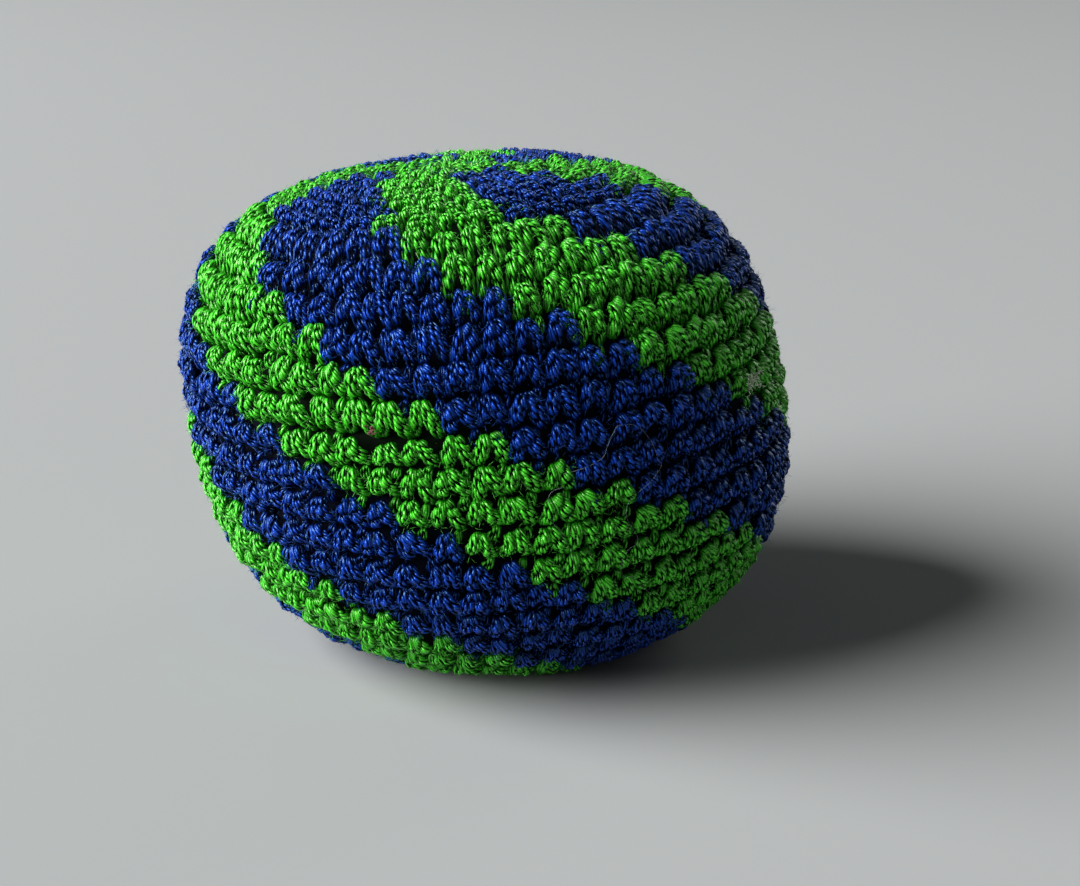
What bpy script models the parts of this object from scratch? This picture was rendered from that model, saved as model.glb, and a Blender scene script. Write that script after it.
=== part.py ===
"""Crocheted footbag: spiral bands of two yarns round a bed of loose pellets. Metres, +Z up."""
import math
import random

import bmesh
import bpy
import numpy as np

# Driving sizes of the bag
BALL_RADIUS = 0.0280          # half of the widest round
CROWN_RISE = 0.0236           # widest round up to the crown
BASE_DROP = 0.0235            # widest round down to the base, before it is pressed flat
BASE_PRESS = 0.0024           # how far the floor presses the base in
PRESS_BEND_LENGTH = 0.0009    # how softly the pressed base turns up into the side
COVER_THICKNESS = 0.0024      # crest of a round to the inside of the crochet
GROOVE_DEPTH = 0.0008         # crest of a round to the groove beside it
BAND_GAP = 0.0003             # clearance between neighbouring pieces

# Shape of the side, as exponents of a superellipse: 2 is an ellipse, more is boxier
CROWN_EXPONENT = 2.86
BASE_EXPONENT = 2.34

# How the slack bag sits: its axis tips to the left, and its crown slides to the left as well
LEAN_ANGLE = math.radians(4.5)
SLIDE_SHARE = 0.083

# The crochet
ROUNDS = 24
STITCHES_AROUND = 60
GREEN_STITCHES = 7            # stitches of green in each repeat of the two colours
BLUE_STITCHES = 8
COLOUR_STEP = 2               # stitches that the colours move on in each round
ROUND_DRIFT_SHARE = 0.25      # of a stitch, that each round also turns against the one below
BAND_START_ANGLE = math.radians(14.8)     # front edge of the first green band at the middle round
END_STRETCH_SHARE = 0.75      # how much taller the rounds get from the middle to either end

# The filling
FILL_GAP = 0.0004             # clearance between the filling and the cover
HEAD_SPACE = 0.0062           # inside of the crown down to the bed of pellets
BED_BEND_LENGTH = 0.0016      # how softly the bed's level top meets its side
PELLET_LENGTH = 0.0042
PELLET_HEIGHT = 0.0028
PELLET_WIDTH_SHARES = (0.82, 0.98)   # least and greatest width of a pellet, in its length
PELLET_STRAY_SHARE = 0.3      # how much of the room between two pellets each may stray by
PELLET_RINGS = 3              # rings of loose pellets round the middle one
PELLET_SIDES = 8
PLACE_SEED = 7
TURN_SEED = 11

# Finishes, as linear colour, roughness
GREEN_YARN = ((0.075, 0.42, 0.035), 0.55)
BLUE_YARN = ((0.012, 0.035, 0.26), 0.55)
PELLET_PLASTIC = ((0.16, 0.15, 0.15), 0.4)

SHARP_ANGLE = math.radians(50)

MERIDIAN_STEPS = 2000
WALL_STEPS = 100
BED_COLUMNS = 30
BED_ROWS = 16
RING_COLUMNS = 20


def clear_scene():
    for thing in list(bpy.data.objects):
        bpy.data.objects.remove(thing, do_unlink=True)


def make_material(name, finish):
    colour, roughness = finish
    material = bpy.data.materials.new(name)
    material.use_nodes = True
    shader = material.node_tree.nodes["Principled BSDF"]
    shader.inputs["Base Color"].default_value = (*colour, 1.0)
    shader.inputs["Roughness"].default_value = roughness
    shader.inputs["Metallic"].default_value = 0.0
    return material


def make_object(name, mesh_data, material):
    """Turns a closed bmesh into an object with its faces pointing out."""
    bmesh.ops.recalc_face_normals(mesh_data, faces=mesh_data.faces[:])
    mesh = bpy.data.meshes.new(name)
    mesh_data.to_mesh(mesh)
    mesh_data.free()
    mesh.materials.append(material)
    mesh.shade_smooth()
    mesh.set_sharp_from_angle(angle=SHARP_ANGLE)
    thing = bpy.data.objects.new(name, mesh)
    bpy.context.collection.objects.link(thing)
    return thing


def side_profile():
    """Radius, height and outward normal along the side, from the base to the crown."""
    angle = np.linspace(-math.pi / 2, math.pi / 2, MERIDIAN_STEPS + 1)
    across = np.abs(np.cos(angle))
    up = np.abs(np.sin(angle))
    exponent = np.where(angle >= 0, CROWN_EXPONENT, BASE_EXPONENT)
    reach = np.where(angle >= 0, CROWN_RISE, BASE_DROP)
    scale = (across ** exponent + up ** exponent) ** (-1 / exponent)
    radius = BALL_RADIUS * scale * across
    height = reach * scale * np.sin(angle)
    run = np.gradient(radius)
    climb = np.gradient(height)
    size = np.hypot(run, climb)
    arc = np.concatenate([[0.0], np.cumsum(np.hypot(np.diff(radius), np.diff(height)))])
    return arc, radius, height, climb / size, -run / size


ARC, SIDE_RADIUS, SIDE_HEIGHT, NORMAL_OUT, NORMAL_UP = side_profile()
SIDE_LENGTH = float(ARC[-1])


def soft_floor(value, rounding):
    """Zero below, the value itself above, and a smooth bend between."""
    if value >= rounding:
        return value
    if value <= -rounding:
        return 0.0
    return (value + rounding) ** 2 / (4 * rounding)


def round_line(row):
    """Arc from the base to a line of the crochet, where row 0 is the base and ROUNDS the crown."""
    middle = 2 * row / ROUNDS - 1
    stretch = middle + END_STRETCH_SHARE * middle ** 3 / 3
    return SIDE_LENGTH * (0.5 + 0.5 * stretch / (1 + END_STRETCH_SHARE / 3))


def slack_point(longitude, arc, depth):
    """A point at some depth under the skin of the slack bag, before anything presses it."""
    out = float(np.interp(arc, ARC, NORMAL_OUT))
    up = float(np.interp(arc, ARC, NORMAL_UP))
    radius = float(np.interp(arc, ARC, SIDE_RADIUS)) - depth * out
    height = float(np.interp(arc, ARC, SIDE_HEIGHT)) - depth * up
    x = radius * math.sin(longitude) - SLIDE_SHARE * height
    y = -radius * math.cos(longitude)
    tipped_x = x * math.cos(LEAN_ANGLE) - height * math.sin(LEAN_ANGLE)
    tipped_z = x * math.sin(LEAN_ANGLE) + height * math.cos(LEAN_ANGLE)
    return tipped_x, y, tipped_z + BASE_DROP - BASE_PRESS


def cover_point(longitude, arc, depth, lift):
    """The same point once the floor presses the base. Lift is the least height it keeps."""
    x, y, z = slack_point(longitude, arc, depth)
    return x, y, lift + soft_floor(z - lift, PRESS_BEND_LENGTH)


def middle_of_base():
    """The centre of the bag's outline from above, which is where its origin stands."""
    xs = []
    ys = []
    for row in range(1, 2 * ROUNDS):
        arc = round_line(row / 2)
        for column in range(STITCHES_AROUND):
            x, y, _ = slack_point(column_line(column, row / 2), arc, 0.0)
            xs.append(x)
            ys.append(y)
    return (min(xs) + max(xs)) / 2, (min(ys) + max(ys)) / 2


def column_line(column, row):
    """Longitude of the line before a stitch. Front is 0 and the right side is positive."""
    pitch = 2 * math.pi / STITCHES_AROUND
    drift = ROUND_DRIFT_SHARE * (row - ROUNDS / 2)
    return BAND_START_ANGLE + (column - GREEN_STITCHES + drift) * pitch


def band_of(column, row):
    """Which band a stitch belongs to, counted round the bag: even is green, odd is blue."""
    repeat = GREEN_STITCHES + BLUE_STITCHES
    place = (column + COLOUR_STEP * (row - ROUNDS // 2)) % STITCHES_AROUND
    return 2 * (place // repeat) + (0 if place % repeat < GREEN_STITCHES else 1)


def build_band(name, band, material, centre):
    """One colour band: a shell of ridged rounds, whose edges step from round to round."""
    cells = set()
    for row in range(1, ROUNDS - 1):
        for column in range(STITCHES_AROUND):
            if band_of(column, row) == band:
                cells.add((column, row))

    def inside(column, row):
        return (column % STITCHES_AROUND, row) in cells

    mesh_data = bmesh.new()
    corners = {}

    def corner(column, half_row, is_skin):
        """A point of the band, set back from its neighbours by half the gap."""
        column %= STITCHES_AROUND
        key = (column, half_row, is_skin)
        if key in corners:
            return corners[key]
        row = half_row // 2
        rows = (row,) if half_row % 2 else (row - 1, row)
        toward_column = 0
        toward_row = 0
        for near_row in rows:
            for near_column, side in ((column - 1, -1), (column, 1)):
                if inside(near_column, near_row):
                    toward_column += side
                    toward_row += 1 if near_row == row else -1
        if half_row % 2:
            toward_row = 0
        arc = round_line(half_row / 2) + BAND_GAP / 2 * np.sign(toward_row)
        radius = float(np.interp(arc, ARC, SIDE_RADIUS))
        longitude = column_line(column, half_row / 2) + BAND_GAP / 2 / radius * np.sign(toward_column)
        if is_skin:
            depth = 0.0 if half_row % 2 else GROOVE_DEPTH
            point = cover_point(longitude, arc, depth, 0.0)
        else:
            point = cover_point(longitude, arc, COVER_THICKNESS, COVER_THICKNESS)
        vertex = mesh_data.verts.new((point[0] - centre[0], point[1] - centre[1], point[2]))
        corners[key] = vertex
        return vertex

    for column, row in sorted(cells):
        low, crest, high = 2 * row, 2 * row + 1, 2 * row + 2
        left, right = column, column + 1
        for below, above in ((low, crest), (crest, high)):
            mesh_data.faces.new([corner(left, below, True), corner(right, below, True),
                                 corner(right, above, True), corner(left, above, True)])
        mesh_data.faces.new([corner(left, low, False), corner(left, high, False),
                             corner(right, high, False), corner(right, low, False)])
        for side, near_column in ((left, column - 1), (right, column + 1)):
            if not inside(near_column, row):
                mesh_data.faces.new([corner(side, low, True), corner(side, crest, True),
                                     corner(side, high, True), corner(side, high, False),
                                     corner(side, low, False)])
        for line, near_row in ((low, row - 1), (high, row + 1)):
            if not inside(column, near_row):
                mesh_data.faces.new([corner(left, line, True), corner(right, line, True),
                                     corner(right, line, False), corner(left, line, False)])
    return make_object(name, mesh_data, material)


def build_end_ring(name, at_crown, material, centre):
    """The first or the last round, drawn together over the pole of the bag."""
    edge_row = ROUNDS - 1 if at_crown else 1
    pole_row = ROUNDS if at_crown else 0
    edge_arc = round_line(edge_row) + (BAND_GAP / 2 if at_crown else -BAND_GAP / 2)
    pole_arc = round_line(pole_row)
    crest_arc = (edge_arc + pole_arc) / 2
    mesh_data = bmesh.new()
    dimple = GROOVE_DEPTH if at_crown else 0.0
    skin_lines = ((edge_arc, GROOVE_DEPTH), (crest_arc, 0.0))

    def ring_of(arc, depth, lift):
        points = []
        for column in range(RING_COLUMNS):
            x, y, z = cover_point(2 * math.pi * column / RING_COLUMNS, arc, depth, lift)
            points.append(mesh_data.verts.new((x - centre[0], y - centre[1], z)))
        return points

    def pole(depth, lift):
        x, y, z = cover_point(0.0, pole_arc, depth, lift)
        return mesh_data.verts.new((x - centre[0], y - centre[1], z))

    rings = [ring_of(arc, depth, 0.0) for arc, depth in skin_lines]
    skin_pole = pole(dimple, 0.0)
    lining = ring_of(edge_arc, COVER_THICKNESS, COVER_THICKNESS)
    lining_pole = pole(COVER_THICKNESS, COVER_THICKNESS)
    for first, second in ((lining, rings[0]), (rings[0], rings[1])):
        for column in range(RING_COLUMNS):
            after = (column + 1) % RING_COLUMNS
            mesh_data.faces.new([first[column], first[after], second[after], second[column]])
    for ring, middle in ((rings[1], skin_pole), (lining, lining_pole)):
        for column in range(RING_COLUMNS):
            after = (column + 1) % RING_COLUMNS
            mesh_data.faces.new([ring[column], ring[after], middle])
    return make_object(name, mesh_data, material)


def bed_level():
    """Height of the pellet bed's level top above the floor."""
    _, _, crown = slack_point(0.0, SIDE_LENGTH, COVER_THICKNESS)
    return crown - HEAD_SPACE


def build_pellet_bed(name, material, centre):
    """The settled filling: it takes the shape of the cover below and lies level on top."""
    level = bed_level()
    depth = COVER_THICKNESS + FILL_GAP
    mesh_data = bmesh.new()

    def bed_point(longitude, arc):
        x, y, z = cover_point(longitude, arc, depth, depth)
        z = level - soft_floor(level - z, BED_BEND_LENGTH)
        return mesh_data.verts.new((x - centre[0], y - centre[1], z))

    rings = []
    for row in range(1, BED_ROWS):
        arc = SIDE_LENGTH * row / BED_ROWS
        rings.append([bed_point(2 * math.pi * column / BED_COLUMNS, arc)
                      for column in range(BED_COLUMNS)])
    for first, second in zip(rings, rings[1:]):
        for column in range(BED_COLUMNS):
            after = (column + 1) % BED_COLUMNS
            mesh_data.faces.new([first[column], first[after], second[after], second[column]])
    for ring, arc in ((rings[0], 0.0), (rings[-1], SIDE_LENGTH)):
        middle = bed_point(0.0, arc)
        for column in range(BED_COLUMNS):
            after = (column + 1) % BED_COLUMNS
            mesh_data.faces.new([ring[column], ring[after], middle])
    return make_object(name, mesh_data, material)


def lining_at(level):
    """Middle and least radius of the hollow under the crown, at some height above the floor."""
    walls = []
    for column in range(BED_COLUMNS):
        longitude = 2 * math.pi * column / BED_COLUMNS
        line = [slack_point(longitude, arc, COVER_THICKNESS)
                for arc in np.linspace(SIDE_LENGTH / 2, SIDE_LENGTH, WALL_STEPS)]
        xs, ys, heights = zip(*line)
        walls.append((float(np.interp(level, heights, xs)), float(np.interp(level, heights, ys))))
    xs, ys = zip(*walls)
    middle = ((min(xs) + max(xs)) / 2, (min(ys) + max(ys)) / 2)
    return middle, min(math.dist(middle, wall) for wall in walls)


def pellet_places(height):
    """Places of the loose pellets: rings that fill the hollow, each pellet a little astray."""
    (x, y), room = lining_at(height)
    _, top_room = lining_at(height + PELLET_HEIGHT / 2)
    outermost = room - FILL_GAP - math.hypot(PELLET_LENGTH / 2, room - top_room)
    spacing = outermost / PELLET_RINGS
    shift = PELLET_STRAY_SHARE * (spacing - PELLET_LENGTH)
    stray = random.Random(PLACE_SEED)
    places = [(x, y)]
    for ring in range(1, PELLET_RINGS + 1):
        for step in range(6 * ring):
            angle = 2 * math.pi * step / (6 * ring)
            reach = spacing * ring - shift
            places.append((x + reach * math.cos(angle) + stray.uniform(-shift, shift),
                           y + reach * math.sin(angle) + stray.uniform(-shift, shift)))
    return places


def build_pellets(material, centre):
    """Loose pellets on the bed: short drops of plastic, each its own piece."""
    height = bed_level() + BAND_GAP + PELLET_HEIGHT / 2
    turn = random.Random(TURN_SEED)
    for number, (x, y) in enumerate(pellet_places(height), start=1):
        mesh_data = bmesh.new()
        bmesh.ops.create_uvsphere(mesh_data, u_segments=PELLET_SIDES, v_segments=PELLET_SIDES // 2,
                                  radius=PELLET_LENGTH / 2)
        width_share = turn.uniform(*PELLET_WIDTH_SHARES)
        squash_share = PELLET_HEIGHT / PELLET_LENGTH
        bmesh.ops.scale(mesh_data, vec=(1.0, width_share, squash_share), verts=mesh_data.verts[:])
        pellet = make_object(f"pellet_{number:02d}", mesh_data, material)
        pellet.location = (x - centre[0], y - centre[1], height)
        pellet.rotation_euler = (0.0, 0.0, turn.uniform(0.0, math.pi))


def build_footbag():
    clear_scene()
    centre = middle_of_base()
    green = make_material("green_yarn", GREEN_YARN)
    blue = make_material("blue_yarn", BLUE_YARN)
    plastic = make_material("pellet_plastic", PELLET_PLASTIC)
    repeats = STITCHES_AROUND // (GREEN_STITCHES + BLUE_STITCHES)
    for repeat in range(repeats):
        build_band(f"green_band_{repeat + 1}", 2 * repeat, green, centre)
        build_band(f"blue_band_{repeat + 1}", 2 * repeat + 1, blue, centre)
    build_end_ring("start_ring", True, green, centre)
    build_end_ring("closing_ring", False, blue, centre)
    build_pellet_bed("pellet_bed", plastic, centre)
    build_pellets(plastic, centre)


build_footbag()
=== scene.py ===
"""A slack crocheted footbag: spiral bands of green and blue yarn over a bed of pellets. Metres."""
import math
import random
import bmesh
import bpy
import numpy as np
from mathutils import Euler, Matrix, Vector


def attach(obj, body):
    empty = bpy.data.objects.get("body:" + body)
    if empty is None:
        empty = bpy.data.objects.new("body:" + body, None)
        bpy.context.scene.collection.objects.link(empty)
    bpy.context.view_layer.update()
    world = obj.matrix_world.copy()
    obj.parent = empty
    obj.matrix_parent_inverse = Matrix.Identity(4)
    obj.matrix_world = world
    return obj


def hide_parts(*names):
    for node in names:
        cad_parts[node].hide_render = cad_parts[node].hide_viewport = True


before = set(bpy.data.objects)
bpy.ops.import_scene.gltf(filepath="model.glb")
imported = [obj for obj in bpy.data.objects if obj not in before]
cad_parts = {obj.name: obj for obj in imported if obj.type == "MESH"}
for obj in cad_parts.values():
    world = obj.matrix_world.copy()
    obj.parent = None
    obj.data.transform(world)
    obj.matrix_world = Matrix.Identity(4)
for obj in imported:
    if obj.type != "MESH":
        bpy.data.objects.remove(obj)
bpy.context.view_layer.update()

# The bag's skin: the crests of the crochet, from the middle of the base to the crown.
# It is a boxy turned shape, worked from the crown down. The slack bag leans to the left,
# and the floor presses its base flat.
BALL_RADIUS = 0.0280
CROWN_RISE = 0.0236
BASE_DROP = 0.0235
BASE_PRESS = 0.0024
PRESS_BEND_LENGTH = 0.0009
CROWN_EXPONENT = 2.86
BASE_EXPONENT = 2.34
LEAN_ANGLE = math.radians(4.5)
SLIDE_SHARE = 0.083
ROUNDS = 24
END_STRETCH_SHARE = 0.75
MERIDIAN_STEPS = 2000
OUTLINE_STEPS_AROUND = 360
OUTLINE_STEPS_UP = 240


def side_profile():
    """Arc, radius, height and outward normal along the side, from the base to the crown."""
    angle = np.linspace(-math.pi / 2, math.pi / 2, MERIDIAN_STEPS + 1)
    across = np.abs(np.cos(angle))
    up = np.abs(np.sin(angle))
    exponent = np.where(angle >= 0, CROWN_EXPONENT, BASE_EXPONENT)
    reach = np.where(angle >= 0, CROWN_RISE, BASE_DROP)
    scale = (across ** exponent + up ** exponent) ** (-1 / exponent)
    radius = BALL_RADIUS * scale * across
    height = reach * scale * np.sin(angle)
    run = np.gradient(radius)
    climb = np.gradient(height)
    size = np.hypot(run, climb)
    arc = np.concatenate([[0.0], np.cumsum(np.hypot(np.diff(radius), np.diff(height)))])
    return arc, radius, height, climb / size, -run / size


ARC, SIDE_RADIUS, SIDE_HEIGHT, NORMAL_OUT, NORMAL_UP = side_profile()
SIDE_LENGTH = float(ARC[-1])


def slack_points(longitude, arc, depth):
    """Points under the skin of the slack bag before the floor presses it, as an array."""
    longitude, arc, depth = np.broadcast_arrays(longitude, arc, depth)
    radius = np.interp(arc, ARC, SIDE_RADIUS) - depth * np.interp(arc, ARC, NORMAL_OUT)
    height = np.interp(arc, ARC, SIDE_HEIGHT) - depth * np.interp(arc, ARC, NORMAL_UP)
    x = radius * np.sin(longitude) - SLIDE_SHARE * height
    y = -radius * np.cos(longitude)
    tipped_x = x * math.cos(LEAN_ANGLE) - height * math.sin(LEAN_ANGLE)
    tipped_z = x * math.sin(LEAN_ANGLE) + height * math.cos(LEAN_ANGLE)
    return np.stack([tipped_x, y, tipped_z + BASE_DROP - BASE_PRESS], axis=-1)


def middle_of_outline():
    """The middle of the bag as seen from above, where the frame has its origin."""
    longitude, arc = np.meshgrid(np.linspace(0, 2 * math.pi, OUTLINE_STEPS_AROUND + 1),
                                 np.linspace(0, SIDE_LENGTH, OUTLINE_STEPS_UP + 1))
    points = slack_points(longitude, arc, 0.0).reshape(-1, 3)
    middle = (points.min(axis=0) + points.max(axis=0)) / 2
    return np.array([middle[0], middle[1], 0.0])


MIDDLE = middle_of_outline()


def skin_points(longitude, arc, depth=0.0):
    """The same points once the base is pressed flat, each at least its own depth off the floor."""
    points = slack_points(longitude, arc, depth) - MIDDLE
    lift = np.broadcast_to(depth, points[..., 2].shape)
    above = points[..., 2] - lift
    bend = (above + PRESS_BEND_LENGTH) ** 2 / (4 * PRESS_BEND_LENGTH)
    flat_or_bent = np.where(above <= -PRESS_BEND_LENGTH, 0.0, bend)
    points[..., 2] = lift + np.where(above >= PRESS_BEND_LENGTH, above, flat_or_bent)
    return points


def round_line(row):
    """Arc from the base to a line between two rounds: 0 is the base, ROUNDS the crown."""
    middle = 2 * np.asarray(row, float) / ROUNDS - 1
    stretch = middle + END_STRETCH_SHARE * middle ** 3 / 3
    return SIDE_LENGTH * (0.5 + 0.5 * stretch / (1 + END_STRETCH_SHARE / 3))


# One stitch of single crochet, in thin cabled yarn of many fine plies. The bag is worked from
# the crown down, so each stitch shows as an upside-down V: two fat legs that fan out below a
# narrow top, and a knob below them, which fills the notch between two stitches of the next round.
PITCH = 0.00293
ROUND_HEIGHT = 0.00265
PLY_RADIUS = 0.000152
KNOB_PLY_RADIUS = 0.000126
PLY_SIDES = 3
PLY_THICKNESS_SHARES = (0.82, 1.15)
LEG_PLIES = 13
KNOB_PLIES = 9
# Each ply shows as a row of short bumps, where it crosses the outside of the strand
LEG_BUMP_LENGTH = 0.00090
KNOB_BUMP_LENGTH = 0.00105
LEAST_BUMP_SHARE = 0.45
BUMP_RISE = 0.00004
BUMP_STEPS = 3
BUMP_FULLNESS_SHARES = (0.86, 1.12)
HIDDEN_SINE = -0.30
TWIST_SAMPLES = 48
TANGENT_SHARE = 0.01
PHASE_WANDER_SHARE = 0.2
# Each bump's tips dip in, and they keep only a share of the light colour as painted shade. Deeper
# points are darkened as painted shade, fully so at the crevice depth below.
TIP_SHARE = 0.45
TIP_SHADE = 0.60
CREVICE_SHADE_DEPTH = 0.00120
# Places of a strand's start, middle and end: shares of the pitch and of the round's height
LEFT_LEG_SHARES = ((-0.12, 0.28), (-0.24, -0.08), (-0.36, -0.58))
RIGHT_LEG_SHARES = ((0.02, 0.31), (0.20, -0.07), (0.39, -0.64))
KNOB_SHARES = ((0.27, -0.66), (0.20, -0.90), (0.13, -1.14))
LEG_DEPTHS = (0.00118, 0.00040, 0.00166)
LEG_SPREADS = (0.00036, 0.00056, 0.00046)
KNOB_DEPTHS = (0.00104, 0.00050, 0.00110)
KNOB_SPREADS = (0.00016, 0.00038, 0.00030)
LEFT_TWIST_ANGLE = math.radians(225)
RIGHT_TWIST_ANGLE = math.radians(125)
KNOB_TWIST_ANGLE = math.radians(90)
LEG_TWIST_SHARES = (0.8, 1.2)
KNOB_TWIST_SHARES = (0.6, 1.5)
ROUTE_WANDER_SHARE = 0.06
STRAND_DEPTH_SHARES = (0.90, 1.10)
# The shapes of a stitch, and after them the bare ones, which have no knob
SHAPES = 14
BARE_SHAPES = 4
STITCH_SEED = 40
STRIP_COLUMNS = 4
STRIP_ROWS = 24
STRIP_MARGIN_ALONG = 0.02
STRIP_MARGIN_AROUND = 0.06


def curve_through(start, middle, end, share):
    """A point of the curve that passes a start, a middle and an end."""
    return (start * (1 - share) * (1 - 2 * share) + middle * 4 * share * (1 - share)
            + end * share * (2 * share - 1))


def ply_bumps(route, spreads, twist, plies, bump_length, draw):
    """The bumps of each ply that show on the outside of a strand: places, each with its way out."""
    span = (route[1] - route[0]).length + (route[2] - route[1]).length
    turn = draw.uniform(0, 2 * math.pi / plies)
    bumps = []
    for ply in range(plies):
        astray = draw.uniform(-PHASE_WANDER_SHARE, PHASE_WANDER_SHARE)
        phase = turn + 2 * math.pi * (ply + astray) / plies
        stretch = []
        for sample in range(TWIST_SAMPLES + 1):
            shown = math.sin(phase + twist * sample / TWIST_SAMPLES) > HIDDEN_SINE
            if shown:
                stretch.append(sample / TWIST_SAMPLES)
            if stretch and (not shown or sample == TWIST_SAMPLES):
                first, last = stretch[0], stretch[-1]
                count = max(1, round((last - first) * span / bump_length))
                offset = draw.uniform(-0.5, 0.5)
                joints = [first + (last - first) * (joint + offset) / count
                          for joint in range(1, count)]
                for start, end in zip([first, *joints], [*joints, last]):
                    if (end - start) * span > LEAST_BUMP_SHARE * LEG_BUMP_LENGTH:
                        bumps.append((phase, start, end))
                stretch = []
    lines = []
    for phase, first, last in bumps:
        fullness = draw.uniform(*BUMP_FULLNESS_SHARES)
        steps = max(BUMP_STEPS, round((last - first) * span / LEG_BUMP_LENGTH * BUMP_STEPS))
        points = []
        for step in range(steps + 1):
            share = first + (last - first) * step / steps
            place = curve_through(*route, share)
            along = (curve_through(*route, share + TANGENT_SHARE)
                     - curve_through(*route, share - TANGENT_SHARE)).normalized()
            side = along.cross(Vector((0, 0, 1))).normalized()
            out_way = side.cross(along)
            angle = phase + twist * share
            way = math.cos(angle) * side + math.sin(angle) * out_way
            rise = BUMP_RISE * math.sin(math.pi * step / steps)
            spread = fullness * curve_through(*spreads, share) + rise
            points.append((place + spread * way, way))
        lines.append(points)
    return lines


def yarn_layers(mesh_data):
    """The maps and values that each yarn mesh carries for its material and for the bake."""
    loop_maps, values = mesh_data.loops.layers.uv, mesh_data.verts.layers.float
    return loop_maps.new("ply"), loop_maps.new("OFBake"), values.new("shade"), values.new("crest")


def add_ply(mesh_data, points, cell, draw, layers, thickness):
    """A stretch of one ply: a three-sided tube, flat side out, that ends in a point each way, with
    painted shade stored at its tips and deep parts.
    """
    ply_map, bake_map, shade_layer, painted_light_layer = layers
    left, low, wide, tall = cell
    shade = draw.random()
    radius = thickness * draw.uniform(*PLY_THICKNESS_SHARES)
    rings = []
    reaches = [0.0]
    for (before, _), (after, _) in zip(points, points[1:]):
        reaches.append(reaches[-1] + (after - before).length)

    # A corner's crest value is painted light: its given share, made less the deeper the corner
    # lies, so that tips and deep parts are darkened as painted shade.
    def corner_at(place, light):
        vertex = mesh_data.verts.new(place)
        vertex[shade_layer] = shade
        vertex[painted_light_layer] = light * max(0.0, min(1.0, 1 + place.z / CREVICE_SHADE_DEPTH))
        return vertex

    for index, (place, way) in enumerate(points):
        before = points[max(index - 1, 0)][0]
        after = points[min(index + 1, len(points) - 1)][0]
        side = (after - before).cross(way).normalized()
        if index in (0, len(points) - 1):
            tip = corner_at(place - way * radius * TIP_SHARE, TIP_SHADE)
            rings.append([tip] * PLY_SIDES)
            continue
        ring = []
        for corner in range(PLY_SIDES):
            angle = math.pi / 6 + 2 * math.pi / PLY_SIDES * corner
            reach = radius * (math.cos(angle) * side + math.sin(angle) * way)
            ring.append(corner_at(place + reach, 1.0))
        rings.append(ring)
    for index, (ring, following) in enumerate(zip(rings, rings[1:])):
        for corner in range(PLY_SIDES):
            after = (corner + 1) % PLY_SIDES
            corners = [(ring[corner], index, corner), (following[corner], index + 1, corner),
                       (following[after], index + 1, corner + 1),
                       (ring[after], index, corner + 1)]
            if index == 0:
                corners.pop(0)
                corners[-1] = (corners[-1][0], index, corner + 0.5)
            elif index == len(rings) - 2:
                corners.pop(2)
                corners[1] = (corners[1][0], index + 1, corner + 0.5)
            face = mesh_data.faces.new([vertex for vertex, _, _ in corners])
            face.smooth = True
            for loop, (_, along_step, around) in zip(face.loops, corners):
                loop[ply_map].uv = (reaches[along_step], around / PLY_SIDES)
                loop[bake_map].uv = (left + wide * along_step / (len(rings) - 1),
                                     low + tall * around / PLY_SIDES)


def bake_cell(strip, columns, rows):
    """The corner and the size of one strip's own place on the bake map."""
    column, row = divmod(strip, rows)
    return ((column + STRIP_MARGIN_ALONG) / columns, (row + STRIP_MARGIN_AROUND) / rows,
            (1 - 2 * STRIP_MARGIN_ALONG) / columns, (1 - 2 * STRIP_MARGIN_AROUND) / rows)


def strand_route(shares, depths, draw):
    """A strand's three places in metres, each a little astray."""
    route = []
    for (across, up), depth in zip(shares, depths):
        route.append(Vector(((across + draw.uniform(-1, 1) * ROUTE_WANDER_SHARE) * PITCH,
                             (up + draw.uniform(-1, 1) * ROUTE_WANDER_SHARE) * ROUND_HEIGHT,
                             -depth * draw.uniform(*STRAND_DEPTH_SHARES))))
    return route


def build_stitch(number, has_knob):
    """One of the stitch's several shapes, alike but none the same."""
    draw = random.Random(STITCH_SEED + number)
    mesh_data = bmesh.new()
    layers = yarn_layers(mesh_data)
    legs = []
    knob = []
    for shares, twist in ((LEFT_LEG_SHARES, LEFT_TWIST_ANGLE),
                          (RIGHT_LEG_SHARES, RIGHT_TWIST_ANGLE)):
        legs += ply_bumps(strand_route(shares, LEG_DEPTHS, draw), LEG_SPREADS,
                          twist * draw.uniform(*LEG_TWIST_SHARES), LEG_PLIES, LEG_BUMP_LENGTH, draw)
    if has_knob:
        knob = ply_bumps(strand_route(KNOB_SHARES, KNOB_DEPTHS, draw), KNOB_SPREADS,
                         KNOB_TWIST_ANGLE * draw.uniform(*KNOB_TWIST_SHARES), KNOB_PLIES,
                         KNOB_BUMP_LENGTH, draw)
    for strip, points in enumerate(legs + knob):
        cell = bake_cell(strip, STRIP_COLUMNS, STRIP_ROWS)
        thickness = PLY_RADIUS if strip < len(legs) else KNOB_PLY_RADIUS
        add_ply(mesh_data, points, cell, draw, layers, thickness)
    mesh = bpy.data.meshes.new(f"stitch_shape_{number:02d}")
    mesh_data.to_mesh(mesh)
    mesh_data.free()
    return bpy.data.objects.new(mesh.name, mesh)


stitch_shapes = bpy.data.collections.new("stitch_shapes")
for shape_number in range(SHAPES + BARE_SHAPES):
    stitch_shapes.objects.link(build_stitch(shape_number, shape_number < SHAPES))


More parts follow.
